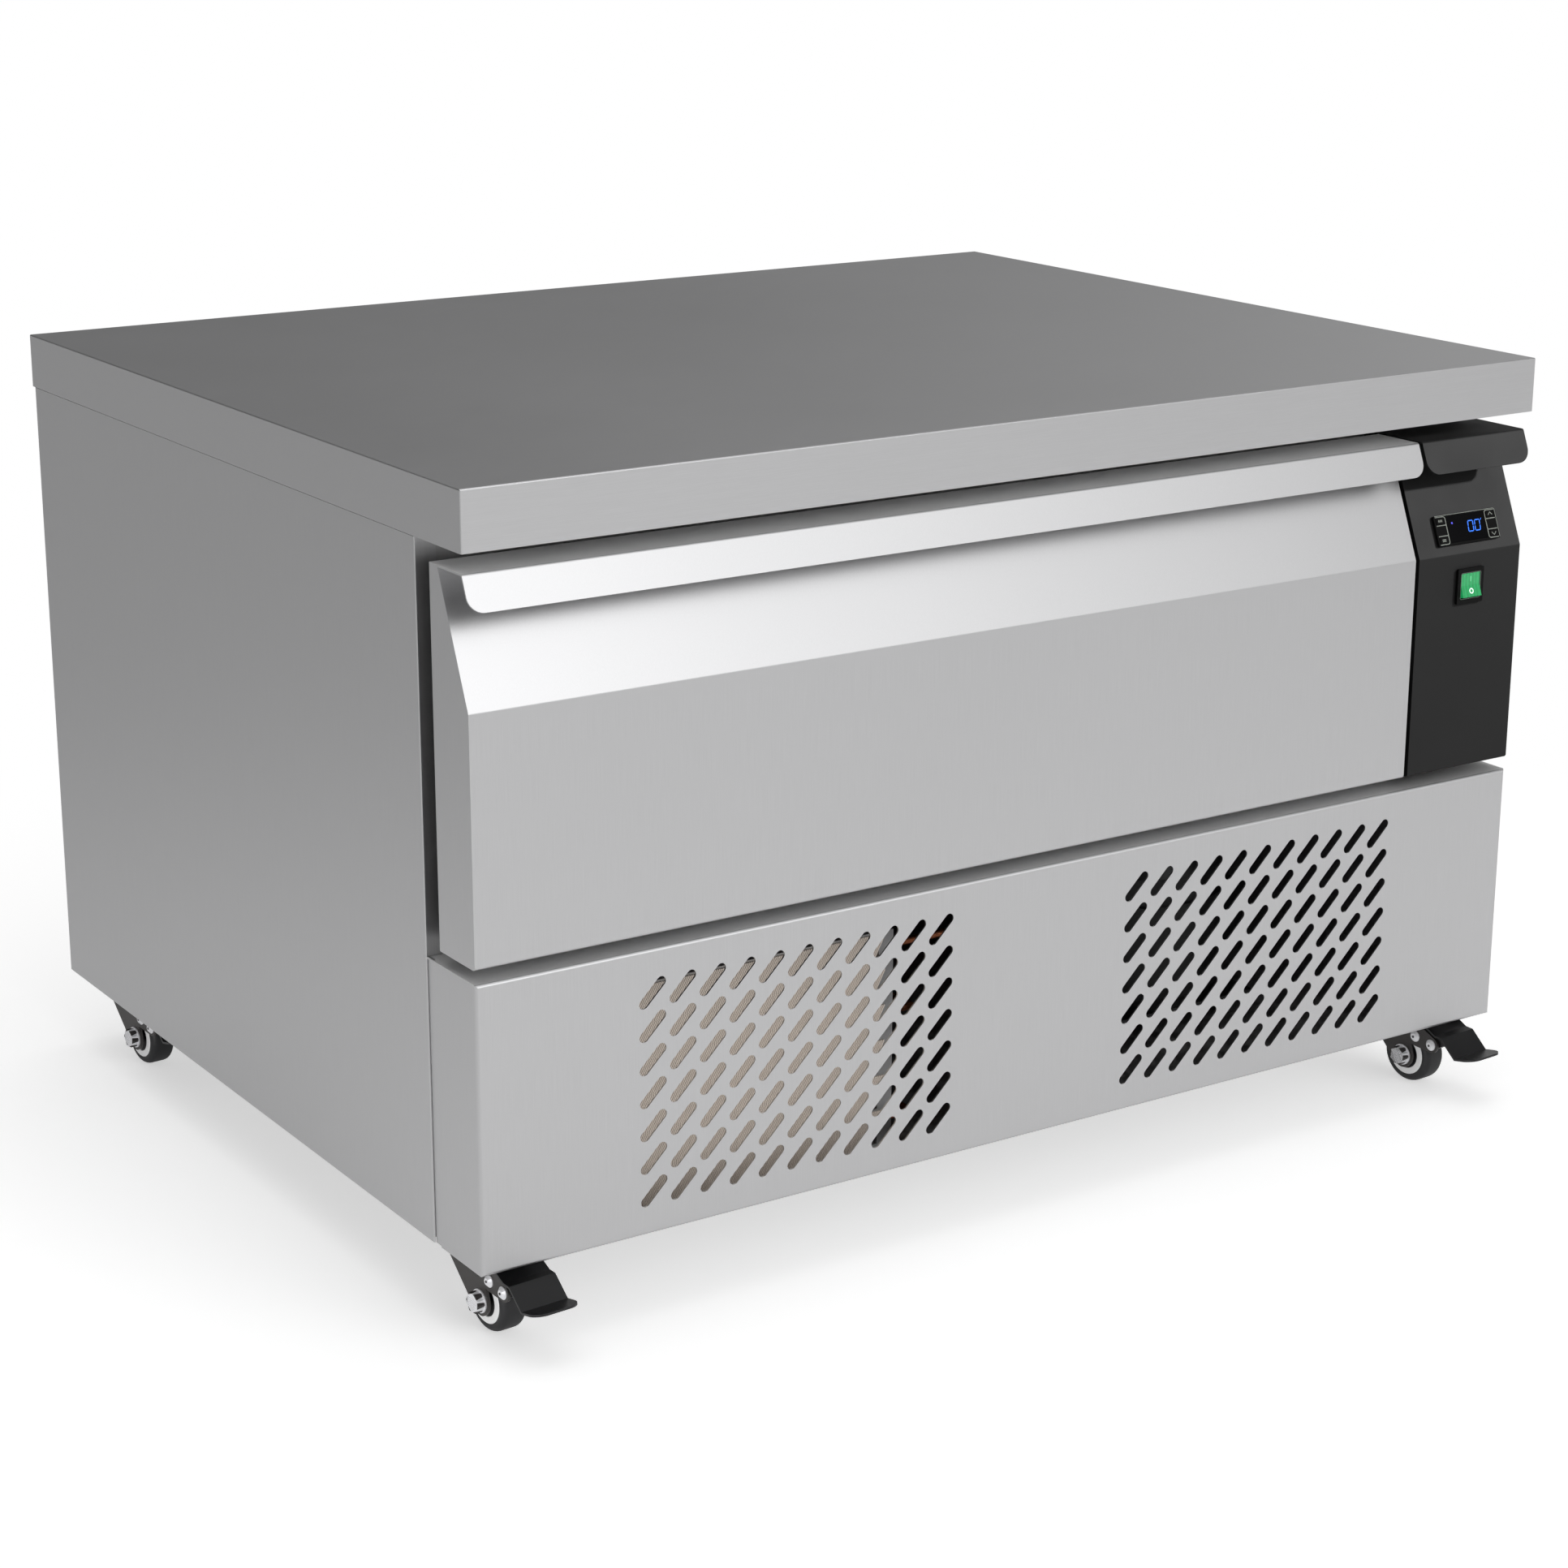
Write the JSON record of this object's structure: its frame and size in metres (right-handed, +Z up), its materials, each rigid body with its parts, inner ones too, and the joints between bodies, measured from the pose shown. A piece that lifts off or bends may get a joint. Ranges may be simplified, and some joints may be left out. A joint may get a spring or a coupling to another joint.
{
  "type": "refrigerated counter",
  "caption": "Low refrigerated counter on braked swivel castors: stainless worktop, wide folded-handle drawer, slotted machine-bay front and a control column with display and rocker switch.",
  "frame": {"origin": "centre of the footprint on the floor, midway between the outermost points in X and in Y", "axes": "+X to the right as seen from the front, -Y is the drawer side, +Y the rear panel, +Z up"},
  "size_m": [0.9, 0.7452, 0.577],
  "materials": {
    "brushed_stainless": "fine vertical brushing",
    "stainless_inner": "satin",
    "galvanised_sheet": "zinc coated, dull",
    "insulation_foam": "rigid foam",
    "door_seal": "soft vinyl",
    "black_cover": "matt black",
    "black_plastic": "fine texture",
    "display_window": "glossy, lit blue",
    "green_rocker": "translucent green, lit",
    "castor_steel": "black plated",
    "castor_tread": "matt black",
    "black_shell": "gloss black enamel",
    "foot_rubber": "matt",
    "coil_aluminium": "mill finish",
    "copper_tube": "drawn copper"
  },
  "bodies": {
    "cabinet": {"base_tray": "galvanised_sheet", "cabinet_foam": "insulation_foam", "castor_plates": "castor_steel", "chamber_liner": "stainless_inner", "compressor": "black_shell", "compressor_feet": "foot_rubber", "condenser_fan_motor": "black_shell", "condenser_fins": "coil_aluminium", "condenser_tubes": "coil_aluminium", "control_cover": "black_cover", "controller_housing": "black_plastic", "controller_lens": "display_window", "evaporation_tray": "black_plastic", "evaporator_coil": "coil_aluminium", "evaporator_cover": "stainless_inner", "evaporator_fan_motor": "black_shell", "evaporator_fins": "coil_aluminium", "fan_shroud": "galvanised_sheet", "front_frame": "brushed_stainless", "lower_panel": "brushed_stainless", "machine_deck": "galvanised_sheet", "mains_gland": "black_plastic", "rear_panel": "galvanised_sheet", "refrigerant_pipes": "copper_tube", "runner_outer_members": "galvanised_sheet", "side_panel_left": "brushed_stainless", "side_panel_right": "brushed_stainless", "switch_housing": "black_plastic", "terminal_box": "black_plastic", "worktop_core": "insulation_foam", "worktop_skin": "brushed_stainless"},
    "drawer": {"drawer_front_skin": "brushed_stainless", "drawer_front_foam": "insulation_foam", "drawer_inner_panel": "stainless_inner", "drawer_gasket": "door_seal", "drawer_frame": "stainless_inner", "pan_divider": "stainless_inner", "runner_inner_members": "galvanised_sheet"},
    "runner_middle_left": {"runner_middle_left": "galvanised_sheet"},
    "runner_middle_right": {"runner_middle_right": "galvanised_sheet"},
    "condenser_fan": {"condenser_fan_blade": "black_plastic"},
    "evaporator_fan": {"evaporator_fan_blade": "black_plastic"},
    "rocker": {"switch_rocker": "green_rocker"},
    "key_left_upper": {"key_left_upper": "black_plastic"},
    "key_left_lower": {"key_left_lower": "black_plastic"},
    "key_up": {"key_up": "black_plastic"},
    "key_down": {"key_down": "black_plastic"},
    "castor_front_left": {"castor_fork_front_left": "castor_steel"},
    "wheel_front_left": {"castor_wheel_front_left": "castor_tread"},
    "pedal_front_left": {"castor_pedal_front_left": "castor_steel"},
    "castor_front_right": {"castor_fork_front_right": "castor_steel"},
    "wheel_front_right": {"castor_wheel_front_right": "castor_tread"},
    "pedal_front_right": {"castor_pedal_front_right": "castor_steel"},
    "castor_rear_left": {"castor_fork_rear_left": "castor_steel"},
    "wheel_rear_left": {"castor_wheel_rear_left": "castor_tread"},
    "pedal_rear_left": {"castor_pedal_rear_left": "castor_steel"},
    "castor_rear_right": {"castor_fork_rear_right": "castor_steel"},
    "wheel_rear_right": {"castor_wheel_rear_right": "castor_tread"},
    "pedal_rear_right": {"castor_pedal_rear_right": "castor_steel"}
  },
  "joints": [
    {"name": "drawer_slide", "type": "slide", "parent": "cabinet", "child": "drawer", "axis": [0, -1, 0], "range_m": [0, 0.55]},
    {"name": "runner_left_slide", "type": "slide", "parent": "cabinet", "child": "runner_middle_left", "axis": [0, -1, 0], "range_m": [0, 0.275]},
    {"name": "runner_right_slide", "type": "slide", "parent": "cabinet", "child": "runner_middle_right", "axis": [0, -1, 0], "range_m": [0, 0.275]},
    {"name": "condenser_fan_spin", "type": "hinge", "parent": "cabinet", "child": "condenser_fan", "pos_m": [-0.25, -0.27109, 0.1498], "axis": [0, 1, 0], "continuous": true},
    {"name": "evaporator_fan_spin", "type": "hinge", "parent": "cabinet", "child": "evaporator_fan", "pos_m": [0.313, -0.15629, 0.34], "axis": [1, 0, 0], "continuous": true},
    {"name": "switch_rock", "type": "hinge", "parent": "cabinet", "child": "rocker", "pos_m": [0.39135, -0.34169, 0.4125], "axis": [1, 0, 0], "range_deg": [0, 20]},
    {"name": "key_left_upper_press", "type": "slide", "parent": "cabinet", "child": "key_left_upper", "axis": [0, 0.9225, -0.3859], "range_m": [0, 0.0005], "stiffness_N_per_m": 800},
    {"name": "key_left_lower_press", "type": "slide", "parent": "cabinet", "child": "key_left_lower", "axis": [0, 0.9225, -0.3859], "range_m": [0, 0.0005], "stiffness_N_per_m": 800},
    {"name": "key_up_press", "type": "slide", "parent": "cabinet", "child": "key_up", "axis": [0, 0.9225, -0.3859], "range_m": [0, 0.0005], "stiffness_N_per_m": 800},
    {"name": "key_down_press", "type": "slide", "parent": "cabinet", "child": "key_down", "axis": [0, 0.9225, -0.3859], "range_m": [0, 0.0005], "stiffness_N_per_m": 800},
    {"name": "castor_front_left_swivel", "type": "hinge", "parent": "cabinet", "child": "castor_front_left", "pos_m": [-0.416, -0.27709, 0.061], "axis": [0, 0, 1], "continuous": true},
    {"name": "castor_front_left_wheel", "type": "hinge", "parent": "castor_front_left", "child": "wheel_front_left", "pos_m": [-0.41461, -0.29704, 0.023], "axis": [0.9976, 0.0698, 0], "continuous": true},
    {"name": "castor_front_left_brake", "type": "hinge", "parent": "castor_front_left", "child": "pedal_front_left", "pos_m": [-0.41258, -0.32597, 0.0395], "axis": [-0.9976, -0.0698, 0], "range_deg": [0, 15]},
    {"name": "castor_front_right_swivel", "type": "hinge", "parent": "cabinet", "child": "castor_front_right", "pos_m": [0.4085, -0.27709, 0.061], "axis": [0, 0, 1], "continuous": true},
    {"name": "castor_front_right_wheel", "type": "hinge", "parent": "castor_front_right", "child": "wheel_front_right", "pos_m": [0.4099, -0.29704, 0.023], "axis": [0.9976, 0.0698, 0], "continuous": true},
    {"name": "castor_front_right_brake", "type": "hinge", "parent": "castor_front_right", "child": "pedal_front_right", "pos_m": [0.41192, -0.32597, 0.0395], "axis": [-0.9976, -0.0698, 0], "range_deg": [0, 15]},
    {"name": "castor_rear_left_swivel", "type": "hinge", "parent": "cabinet", "child": "castor_rear_left", "pos_m": [-0.416, 0.30091, 0.061], "axis": [0, 0, 1], "continuous": true},
    {"name": "castor_rear_left_wheel", "type": "hinge", "parent": "castor_rear_left", "child": "wheel_rear_left", "pos_m": [-0.41461, 0.28096, 0.023], "axis": [0.9976, 0.0698, 0], "continuous": true},
    {"name": "castor_rear_left_brake", "type": "hinge", "parent": "castor_rear_left", "child": "pedal_rear_left", "pos_m": [-0.41258, 0.25203, 0.0395], "axis": [-0.9976, -0.0698, 0], "range_deg": [0, 15]},
    {"name": "castor_rear_right_swivel", "type": "hinge", "parent": "cabinet", "child": "castor_rear_right", "pos_m": [0.4085, 0.30091, 0.061], "axis": [0, 0, 1], "continuous": true},
    {"name": "castor_rear_right_wheel", "type": "hinge", "parent": "castor_rear_right", "child": "wheel_rear_right", "pos_m": [0.4099, 0.28096, 0.023], "axis": [0.9976, 0.0698, 0], "continuous": true},
    {"name": "castor_rear_right_brake", "type": "hinge", "parent": "castor_rear_right", "child": "pedal_rear_right", "pos_m": [0.41192, 0.25203, 0.0395], "axis": [-0.9976, -0.0698, 0], "range_deg": [0, 15]}
  ],
  "couplings": [
    {"joint": "runner_left_slide", "follows": "drawer_slide", "ratio": 0.5},
    {"joint": "runner_right_slide", "follows": "drawer_slide", "ratio": 0.5}
  ]
}
